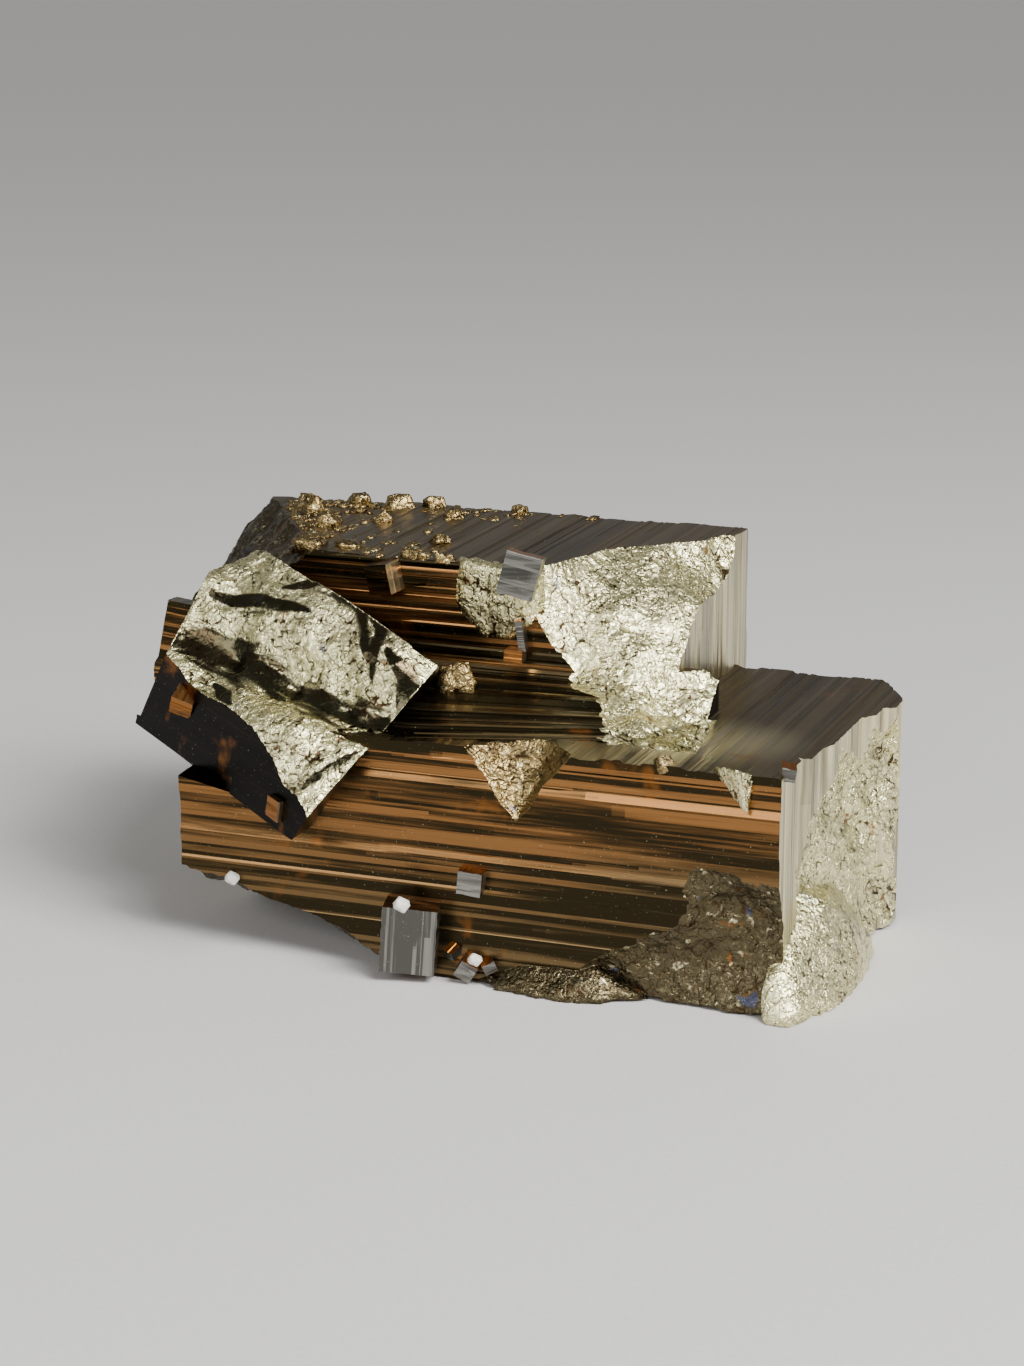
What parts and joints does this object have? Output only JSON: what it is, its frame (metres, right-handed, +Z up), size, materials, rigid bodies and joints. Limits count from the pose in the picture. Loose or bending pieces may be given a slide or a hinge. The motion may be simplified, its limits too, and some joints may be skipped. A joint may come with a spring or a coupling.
{
  "type": "pyrite cluster",
  "caption": "Cluster of intergrown striated cubic pyrite crystals with rough broken faces, on a flat underside.",
  "frame": {"origin": "under the middle of the cluster's bounding box, on the surface that it stands on", "axes": "+X along the base crystal's long edge, +Y from the front to the back, +Z up"},
  "size_m": [0.0876, 0.0586, 0.0453],
  "materials": {
    "pyrite": "striated satin with bright rough breaks"
  },
  "bodies": {
    "root": {"pyrite_cluster": "pyrite"}
  },
  "joints": []
}
